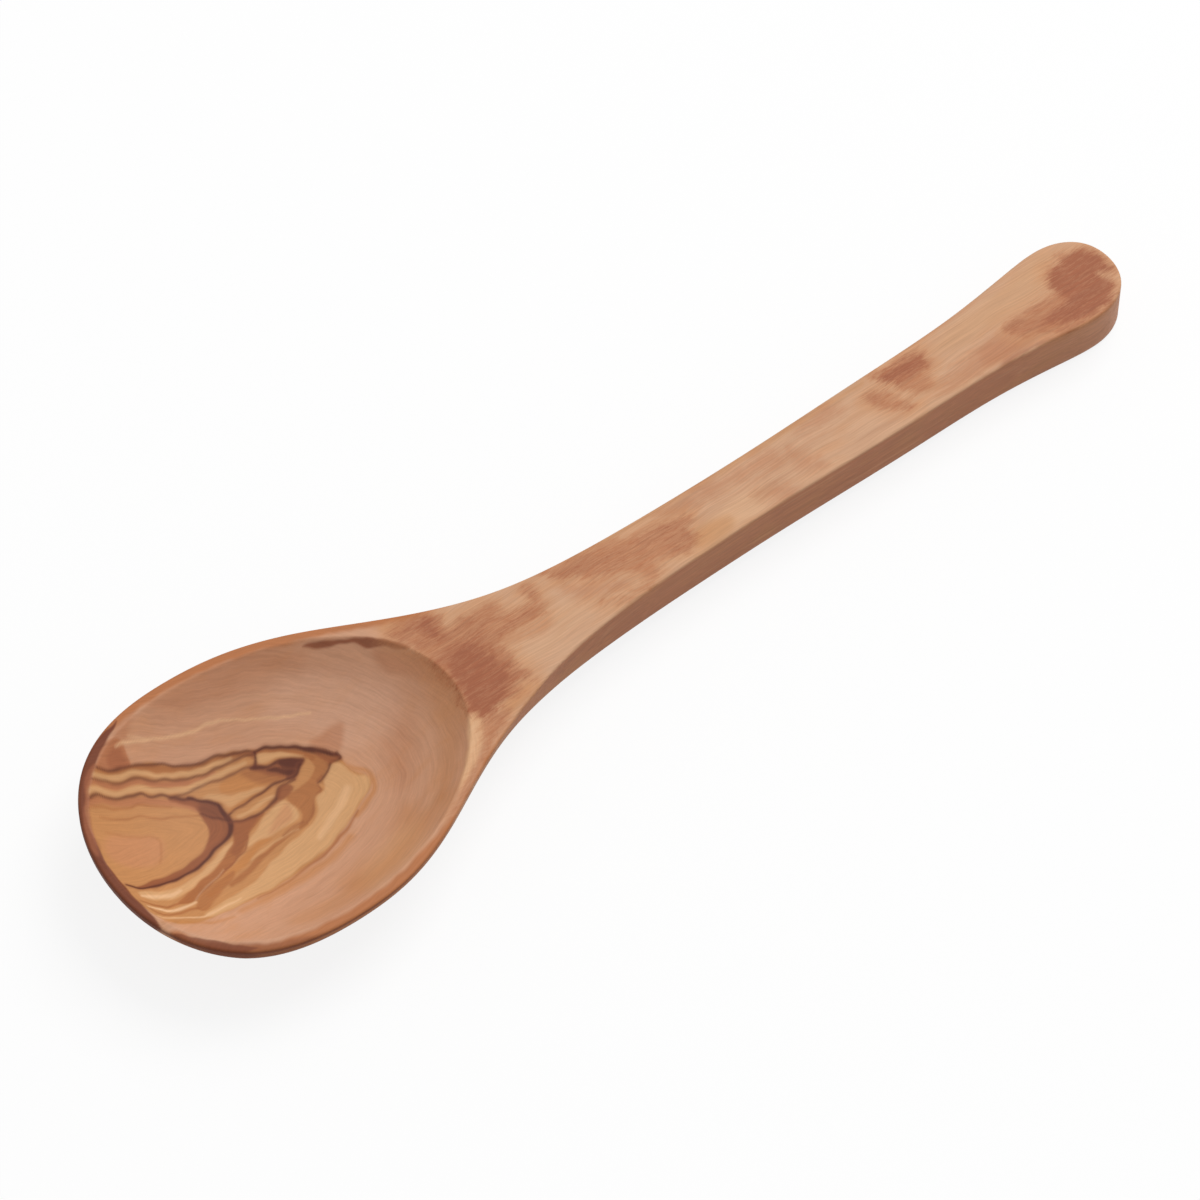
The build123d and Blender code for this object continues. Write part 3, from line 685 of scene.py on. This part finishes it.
# How far inside a mark each place is, in mm. For a line: half width less the distance to it,
# with the nearest place on each span found by projection. For an area: distance to its
# outline, with a minus sign where a ray along u crosses the outline an even number of times.
def markField(u, v, points, margin=6.0):
    closed = len(points[0]) == 2
    line = smoothLine(points, closed)
    half = np.zeros(len(line)) if closed else line[:, 2]
    low, high = line[:, :2].min(0) - margin, line[:, :2].max(0) + margin
    near = (u > low[0]) & (u < high[0]) & (v > low[1]) & (v < high[1])
    x, y = u[near], v[near]
    best, inside = np.full(x.shape, -np.inf), np.zeros(x.shape, bool)
    for k in range(len(line) - 1):
        (u0, v0), (u1, v1) = line[k, :2], line[k + 1, :2]
        du, dv = u1 - u0, v1 - v0
        share = np.clip(((x - u0) * du + (y - v0) * dv) / (du * du + dv * dv), 0, 1)
        away = np.hypot(x - u0 - share * du, y - v0 - share * dv)
        best = np.maximum(best, half[k] + (half[k + 1] - half[k]) * share - away)
        if closed and dv:
            inside ^= ((y > v0) != (y > v1)) & (x < u0 + (y - v0) * du / dv)
    field = np.full(u.shape, -margin)
    field[near] = np.where(inside, -best, best) if closed else best
    return field


# A slow waviness: sines of unlike lengths and directions added up.
def wander(u, v, reach, size, turn):
    total = np.zeros(u.shape)
    for k, share in enumerate(growth["waveLengths"], 1):
        angle = turn + growth["waveTurn"] * k
        way = u * math.cos(angle) + v * math.sin(angle)
        total += np.sin(2 * math.pi * way / (size * share) + growth["waveShift"] * k + turn)
    return reach * total / growth["waveHeight"]


# The smooth step 3 x squared - 2 x cubed, from 0 at x = 0 to 1 at x = 1.
def eased(x):
    x = np.clip(x, 0, 1)
    return x * x * (3 - 2 * x)


# A colour on the 0 to 255 scale as light, by the usual curve of screens.
def linear(red, green, blue):
    c = np.array([red, green, blue]) / 255
    return (*np.where(c <= 0.04045, c / 12.92, ((c + 0.055) / 1.055) ** 2.4), 1.0)


# The wood's tones on the 0 to 255 scale.
oliveTones = {
    "handle": linear(210, 164, 129), "bowl": linear(210, 158, 125), "side": linear(195, 129, 93),
    "gold": linear(197, 138, 86), "amber": linear(196, 130, 72), "brown": linear(170, 104, 58),
    "umber": linear(148, 84, 50), "vein": linear(88, 40, 26), "pale": linear(215, 165, 115),
    "light": linear(236, 190, 145), "blush": linear(200, 137, 95), "rust": linear(140, 76, 48),
    "cloud": linear(184, 117, 78), "deep": linear(164, 96, 64), "edge": linear(120, 58, 33),
    "warm": linear(186, 114, 66), "streak": linear(178, 120, 86), "haze": linear(206, 145, 98),
    "fawn": linear(206, 156, 114), "blossom": linear(228, 184, 158),
    # the side near the handle's end, lighter: painted light where that end faces the lamp
    "sideEndLit": linear(206, 146, 112),
}


# Marks painted one over the other: share = strength times a smooth step over the soft edge,
# and each replaces that share of what lies under it. Gives the paint and how much it covers.
def paintMarks(u, v, marks):
    colour, cover = np.zeros((len(u), 3)), np.zeros(len(u))
    redShare, redReach, redSoft = growth["redder"]
    for tone, strength, soft, points in marks:
        field = markField(u, v, points)
        layers = [(tone, strength, field / soft)]
        if tone == "vein":
            layers.insert(0, ("rust", redShare * strength, (field + redReach) / redSoft))
        for name, most, x in layers:
            share = most * eased(x + 0.5)
            colour = colour * (1 - share[:, None]) + np.array(oliveTones[name][:3]) * share[:, None]
            cover = cover + (1 - cover) * share
    return colour, cover


# The figure goes through the wood, so below the hollow's face it drifts to one side.
def paintFigure(piece, place):
    u, v = place[:, 0], place[:, 1]
    buried = np.maximum(place[:, 2] - hollowDepth(u, v), 0)
    driftU, driftV = growth["drift"]
    reach, size, turnU, turnV = growth["stray"]
    figureU = u + driftU * buried + wander(u, v, reach, size, turnU)
    figureV = v + driftV * buried + wander(u, v, reach, size, turnV)
    fade = 1 - growth["fading"] * eased((buried - growth["plainFrom"]) / growth["plainOver"])
    # the figure's paint takes in the painted shade and light of the hollow, and the rim's the painted
    # shade along the bowl's edge
    marks = (marksOnWood("bowl") + marksOnWood("lines", figure["bolder"]) + marksOnWood("streaksShadeAndLight")
             + marksOnWood("tints"))
    for name, group in (("figure", marks), ("rim", [*figure["rim"], *marksOnWood("edge")])):
        colour, cover = paintMarks(figureU, figureV, group)
        paint(piece, name, colour * fade[:, None])
        paint(piece, name + "Cover", cover * fade)
    for name in ("clouds", "deeps", "faint"):
        field = np.max([markField(u, v, onWood(points)) for points in figure[name]], axis=0)
        paint(piece, name, field - growth["sinking"] * np.maximum(buried - growth["sinkFrom"], 0))
    # the bowl's fine lines run along the figure's outline, and in the tongue along its own
    extent = growth["ringReach"]
    outside, tongue = (markField(figureU, figureV, points, extent) for points in figure["rings"])
    ring = np.where(tongue > 0, growth["tongueRing"] + tongue, outside)
    paint(piece, "rings", np.stack([u, ring + wander(u, v, *growth["ringWaves"]), v], -1))
    paint(piece, "buried", buried)


# The grain: v plus a slant that grows with the distance from one place along the spoon, up to
# another, where an exponential curve ends it.
def paintGrain(piece, place):
    u, v = place[:, 0], place[:, 1]
    end, ease = growth["fanEnd"], growth["fanEase"]
    slant = growth["slant"] * np.tanh((v - growth["fanMiddle"]) / growth["fanWidth"])
    reach = np.minimum(u, end + ease * (1 - np.exp(-np.maximum(u - end, 0) / ease))) - growth["fanAbout"]
    across = v + slant * reach + wander(u, v, *growth["grainWaves"])
    paint(piece, "grain", np.stack([u, across, place[:, 2]], -1))
    paint(piece, "place", place)


paintGrain(spoon, place)
paintFigure(spoon, place)
print("figure drawn")

# How the wood's pattern is made in the material.
olive = {
    # noise: scale along, across and down the wood for each mm, detail, roughness, bend
    "noises": {
        "mottle": ((0.05, 0.13, 0.13), 4.0, 0.6, 0.0),
        "ragged": ((0.13, 0.38, 0.38), 6.0, 0.68, 0.6),
        "flecks": ((0.35, 1.7, 1.7), 5.0, 0.75, 0.3),
        "fineFlecks": ((0.22, 0.9, 0.9), 6.0, 0.8, 0.4),
    },
    # long threads: scale across and along for each mm, detail, roughness, bend
    "threads": {
        "streaks": (0.3, 0.014, 5.0, 0.62, 0.0),
        "paleStreaks": (0.5, 0.012, 4.0, 0.6, 0.2),
        "fineStreaks": (2.0, 0.06, 3.0, 0.6, 0.0),
    },
    "bowlThreads": (0.65, 0.175),  # weaker round the figure: share kept, and value added
    # places along the spoon where the handle's wood, and the painted light on the side near its end,
    # begin and are full
    "handleFrom": (86, 106), "sideLitFrom": (255, 300),
    "sideFrom": (0.1, 1.0),        # the same, below the top face, for the handle's side
    # thin layers over plain wood: pattern, where it begins and is full, cover and tone
    "layers": (
        ("streaks", 0.45, 0.75, 0.45, "streak"),
        ("paleStreaks", 0.55, 0.8, 0.35, "light"),
        ("mottle", 0.46, 0.7, 0.35, "haze"),
    ),
    "hiddenAside": 0.85,           # little of the figure shows on the handle's side
    # how far the ragged noise and the flecks move the edge of an area, in mm
    "strays": {"faint": (9.0, 6.0), "clouds": (6.5, 5.5), "deeps": (6.0, 4.0)},
    # areas: mm inside the edge where they begin and are full, and the cover then
    "faint": (-3.0, 3.0, 0.5), "halo": (-5.0, 0.5, 0.45),
    "cloud": (-1.6, 1.8), "deep": (-2.0, 2.0),
    "darkMottle": (0.4, 0.62, 0.8),
    "patchy": (0.38, 0.58, 0.92, 0.5), "fullerDeep": 0.3,  # where flecks thin a red patch out
    # bands of painted shade below the rim, in mm: they begin, are full, start to end and are over
    "lowShade": (1.3, 3.0, 4.0, 7.0), "lowShadeCover": 0.6,
    "rimShade": (0.15, 0.6, 0.9, 1.5), "rimShadeCover": 0.65, "rimShadeAlong": (80, 45),
    # range of a pattern and what it becomes
    "grainShade": (0.3, 0.7, 0.87, 1.1), "fleckShade": (0.3, 0.7, 0.97, 1.03),
    "roughness": (0.0, 1.0, 0.5, 0.62),
    "gloss": {"IOR": 1.45, "Specular IOR Level": 0.3},
    "relief": {"Strength": 0.12, "Distance": 0.0002},
}


# Add a node; an input is a value or a socket to link.
def makeNode(tree, kind, inputs=(), **settings):
    node = tree.nodes.new(kind)
    for key, value in settings.items():
        setattr(node, key, value)
    for key, value in dict(inputs).items():
        if isinstance(value, bpy.types.NodeSocket):
            tree.links.new(value, node.inputs[key])
        else:
            node.inputs[key].default_value = value
    return node


# The node tree of the first socket among some values.
def treeOf(*values):
    return next(value for value in values if isinstance(value, bpy.types.NodeSocket)).id_data


# One step of arithmetic on values or sockets.
def calculate(kind, a, b, clamp=False):
    inputs = {0: a, 1: b}
    node = makeNode(treeOf(a, b), "ShaderNodeMath", inputs, operation=kind, use_clamp=clamp)
    return node.outputs[0]


def times(a, b):
    return calculate("MULTIPLY", a, b)


# A colour laid over another by a share, or blended with it in another way.
def mixed(share, a, b, blend="MIX"):
    inputs = {0: share, 6: a, 7: b}
    tree = treeOf(share, a, b)
    return makeNode(tree, "ShaderNodeMix", inputs, data_type="RGBA", blend_type=blend).outputs[2]


# 0 up to low, 1 from high on, and the smooth step between; low may be the greater one.
def smoothStep(value, low, high):
    inputs = {"Value": value, "From Min": low, "From Max": high}
    node = makeNode(treeOf(value), "ShaderNodeMapRange", inputs, interpolation_type="SMOOTHSTEP")
    return node.outputs[0]


# How much a layer covers: nothing up to low, and from high on the share most.
def veil(value, low, high, most):
    return times(smoothStep(value, low, high), most)


# A band that begins, is full, starts to end and is over.
def band(value, begun, full, ending, over):
    return times(smoothStep(value, begun, full), smoothStep(value, over, ending))


# A value carried in a straight line from one range to another.
def ranged(value, low, high, least, most):
    inputs = {"Value": value, "From Min": low, "From Max": high, "To Min": least, "To Max": most}
    return makeNode(treeOf(value), "ShaderNodeMapRange", inputs).outputs[0]


# A value that is painted on the mesh.
def painted(tree, name, kind="Fac"):
    return makeNode(tree, "ShaderNodeAttribute", attribute_name=name).outputs[kind]


# Lay painted marks over a colour: what they don't cover of it, plus the paint.
def painting(colour, name):
    tree = treeOf(colour)
    bare = mixed(painted(tree, name + "Cover"), colour, (0, 0, 0, 1))
    return mixed(1.0, bare, painted(tree, name, "Vector"), "ADD")


# Noise over the wood, from the values that olive gives.
def noise(where, stretch, detail, rough, bend):
    tree = treeOf(where)
    scaled = makeNode(tree, "ShaderNodeMapping", {"Vector": where, "Scale": stretch}).outputs[0]
    inputs = {"Vector": scaled, "Scale": 1.0, "Detail": detail, "Roughness": rough, "Distortion": bend}
    return makeNode(tree, "ShaderNodeTexNoise", inputs).outputs["Fac"]


# Noise in long threads, round the figure in the bowl and straight in the handle.
def threads(pattern, across, thin, detail, rough, bend):
    kept, added = olive["bowlThreads"]
    bent = noise(pattern["around"], (2 * thin, across, 2 * thin), detail, rough, bend)
    bent = calculate("ADD", times(bent, kept), added)
    straight = noise(pattern["along"], (thin, across, across), detail, rough, bend)
    return calculate("ADD", times(calculate("SUBTRACT", straight, bent), pattern["toHandle"]), bent)


# Everything that varies over the wood, by name.
def woodPattern(tree):
    axes = makeNode(tree, "ShaderNodeSeparateXYZ", {0: painted(tree, "place", "Vector")}).outputs
    pattern = {
        "tree": tree, "length": axes[0], "below": painted(tree, "buried"),
        "along": painted(tree, "grain", "Vector"), "around": painted(tree, "rings", "Vector"),
        "toHandle": smoothStep(axes[0], *olive["handleFrom"]),
    }
    pattern["aside"] = times(pattern["toHandle"], smoothStep(axes[2], *olive["sideFrom"]))
    for name, values in olive["noises"].items():
        pattern[name] = noise(pattern["along"], *values)
    for name, values in olive["threads"].items():
        pattern[name] = threads(pattern, *values)
    return pattern


# The wood without its figure: the bowl's, the handle's and the side's, under thin layers.
def plainWood(pattern):
    # painted light: the side grows lighter towards the handle's end
    atEnd = smoothStep(pattern["length"], *olive["sideLitFrom"])
    side = mixed(atEnd, oliveTones["side"], oliveTones["sideEndLit"])
    plain = mixed(pattern["toHandle"], oliveTones["bowl"], oliveTones["handle"])
    plain = mixed(pattern["aside"], plain, side)
    for name, low, high, most, tone in olive["layers"]:
        plain = mixed(veil(pattern[name], low, high, most), plain, oliveTones[tone])
    return plain


# A painted distance moved by noise less its middle, 0.5, so that its edge is ragged and flecked.
def strayed(pattern, name):
    reach, fleckReach = olive["strays"][name]
    rough = times(calculate("SUBTRACT", pattern["ragged"], 0.5), reach)
    fine = times(calculate("SUBTRACT", pattern["flecks"], 0.5), fleckReach)
    return calculate("ADD", painted(pattern["tree"], name), calculate("ADD", rough, fine))


# The figure's marks, with painted shade and light among them, the faint clouds, and the red
# patches with a haze round each.
def figuredWood(pattern, plain):
    colour = mixed(times(pattern["aside"], olive["hiddenAside"]), painting(plain, "figure"), plain)
    colour = mixed(veil(strayed(pattern, "faint"), *olive["faint"]), colour, oliveTones["cloud"])
    clouds = strayed(pattern, "clouds")
    deeps = smoothStep(strayed(pattern, "deeps"), *olive["deep"])
    colour = mixed(veil(clouds, *olive["halo"]), colour, oliveTones["haze"])
    darker = calculate("MAXIMUM", veil(pattern["mottle"], *olive["darkMottle"]), deeps)
    patchy = ranged(pattern["fineFlecks"], *olive["patchy"])
    patchy = calculate("ADD", patchy, times(deeps, olive["fullerDeep"]), True)
    red = mixed(darker, oliveTones["cloud"], oliveTones["deep"])
    return mixed(times(smoothStep(clouds, *olive["cloud"]), patchy), colour, red)


# The rim's marks, painted shade in dark red along the bowl's lower edge where the wall turns under,
# and a dark band of painted shade just below the rim, round the tip.
def edgedWood(pattern, colour):
    below, length = pattern["below"], pattern["length"]
    colour = painting(colour, "rim")
    inBowl = calculate("SUBTRACT", 1.0, pattern["toHandle"])
    # painted shade: darker red where the bowl's wall turns under
    lowShade = times(band(below, *olive["lowShade"]), inBowl)
    colour = mixed(times(lowShade, olive["lowShadeCover"]), colour, oliveTones["rust"])
    # painted shade: a dark band just below the rim's outer edge, round the tip
    rimShade = times(band(below, *olive["rimShade"]), smoothStep(length, *olive["rimShadeAlong"]))
    return mixed(times(rimShade, olive["rimShadeCover"]), colour, oliveTones["edge"])


# The whole wood: its colour under fine streaks and flecks, its gloss and its relief.
def oliveWood():
    wood = bpy.data.materials.new("olive_wood")
    wood.use_nodes = True
    tree = wood.node_tree
    pattern = woodPattern(tree)
    colour = edgedWood(pattern, figuredWood(pattern, plainWood(pattern)))
    fineStreaks, flecks = pattern["fineStreaks"], pattern["flecks"]
    shade = times(ranged(fineStreaks, *olive["grainShade"]), ranged(flecks, *olive["fleckShade"]))
    grey = makeNode(tree, "ShaderNodeCombineColor", {0: shade, 1: shade, 2: shade}).outputs[0]
    relief = makeNode(tree, "ShaderNodeBump", {"Height": fineStreaks, **olive["relief"]}).outputs[0]
    surface = tree.nodes["Principled BSDF"].inputs
    tree.links.new(mixed(1.0, colour, grey, "MULTIPLY"), surface["Base Color"])
    tree.links.new(ranged(pattern["streaks"], *olive["roughness"]), surface["Roughness"])
    tree.links.new(relief, surface["Normal"])
    for name, value in olive["gloss"].items():
        surface[name].default_value = value
    return wood


spoon.data.materials.append(oliveWood())
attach(spoon, "root")
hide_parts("spoon")

studio = {
    "floorSize": 6.0,
    "floorDrop": 0.00004,    # how far the floor lies under the spoon
    "paper": 0.55,           # the floor's white as the wood sees it
    "paperRough": 0.9,
    "glow": 0.86,            # share of the seen floor that is plain white light
    "air": 0.45,
    "lamps": {
        # place, aimed at, width, height, watts
        "windowLamp": ((1.9, 0.5, 2.6), (0.0, 0.0, 0.0), 2.2, 2.0, 72.0),
    },
}


# Matrix of something at origin that looks at target, its top towards up.
def aimed(origin, target, up):
    back = (origin - target).normalized()
    right = up.cross(back).normalized()
    rows = Matrix((right, back.cross(right), back)).transposed()
    return Matrix.Translation(origin) @ rows.to_4x4()


# Aimed at a place on the top face, and turned and raised about it in that face's own frame.
def addCamera():
    turn, rise = math.radians(sight["turn"]), math.radians(sight["rise"])
    tilt = math.atan(carving["slope"])
    along = Vector((math.cos(tilt), 0, -math.sin(tilt)))
    outward = Vector((math.sin(tilt), 0, math.cos(tilt)))
    across = Vector((0, 1, 0))
    u, v = sight["aim"]
    target = Vector((0, 0, carving["topHeight"])) + along * (u - carving["length"] / 2) + across * v
    back = (along * math.sin(turn) * math.cos(rise) - across * math.cos(turn) * math.cos(rise)
            + outward * math.sin(rise))
    data = bpy.data.cameras.new("camera")
    data.lens, data.sensor_width, data.sensor_fit = sight["lens"], sight["sensor"], "HORIZONTAL"
    data.clip_start, data.clip_end = sight["near"] / 1000, sight["far"] / 1000
    camera = bpy.data.objects.new("camera", data)
    camera.matrix_world = aimed((target + back * sight["distance"]) / 1000, target / 1000, outward)
    scene.collection.objects.link(camera)
    scene.camera = camera


# The lamps, and white air that lights the shadows.
def addLamps():
    for name, (origin, target, width, height, watts) in studio["lamps"].items():
        data = bpy.data.lights.new(name, "AREA")
        data.shape, data.size, data.size_y, data.energy = "RECTANGLE", width, height, watts
        lamp = bpy.data.objects.new(name, data)
        lamp.matrix_world = aimed(Vector(origin), Vector(target), Vector((0, 0, 1)))
        scene.collection.objects.link(lamp)
    world = bpy.data.worlds.new("studioAir")
    world.use_nodes = True
    background = world.node_tree.nodes["Background"]
    background.inputs["Color"].default_value = (1, 1, 1, 1)
    background.inputs["Strength"].default_value = studio["air"]
    scene.world = world


# White paper that glows where it is seen, and is clear from below, so that the spoon's
# underside shows.
def whitePaper():
    paper = bpy.data.materials.new("whitePaper")
    paper.use_nodes = True
    tree = paper.node_tree
    surface = tree.nodes["Principled BSDF"]
    rays = makeNode(tree, "ShaderNodeLightPath").outputs
    seen = rays["Is Camera Ray"]
    for ray in ("Is Glossy Ray", "Is Transmission Ray"):
        seen = calculate("MAXIMUM", seen, rays[ray])
    tree.links.new(ranged(seen, 0.0, 1.0, studio["paper"], 1.0), surface.inputs["Base Color"])
    surface.inputs["Roughness"].default_value = studio["paperRough"]
    glow = makeNode(tree, "ShaderNodeEmission").outputs[0]
    lit = {0: times(seen, studio["glow"]), 1: surface.outputs[0], 2: glow}
    above = makeNode(tree, "ShaderNodeMixShader", lit).outputs[0]
    fromBelow = makeNode(tree, "ShaderNodeNewGeometry").outputs["Backfacing"]
    nothing = makeNode(tree, "ShaderNodeBsdfTransparent").outputs[0]
    whole = makeNode(tree, "ShaderNodeMixShader", {0: fromBelow, 1: above, 2: nothing}).outputs[0]
    tree.links.new(whole, tree.nodes["Material Output"].inputs["Surface"])
    return paper


def addFloor():
    half, z = studio["floorSize"] / 2, -studio["floorDrop"]
    corners = [(-half, -half, z), (half, -half, z), (half, half, z), (-half, half, z)]
    mesh = bpy.data.meshes.new("studioFloor")
    mesh.from_pydata(corners, [], [(0, 1, 2, 3)])
    mesh.materials.append(whitePaper())
    floor = bpy.data.objects.new("studioFloor", mesh)
    scene.collection.objects.link(floor)


addCamera()
addLamps()
addFloor()
print("camera, lamps and floor are set")
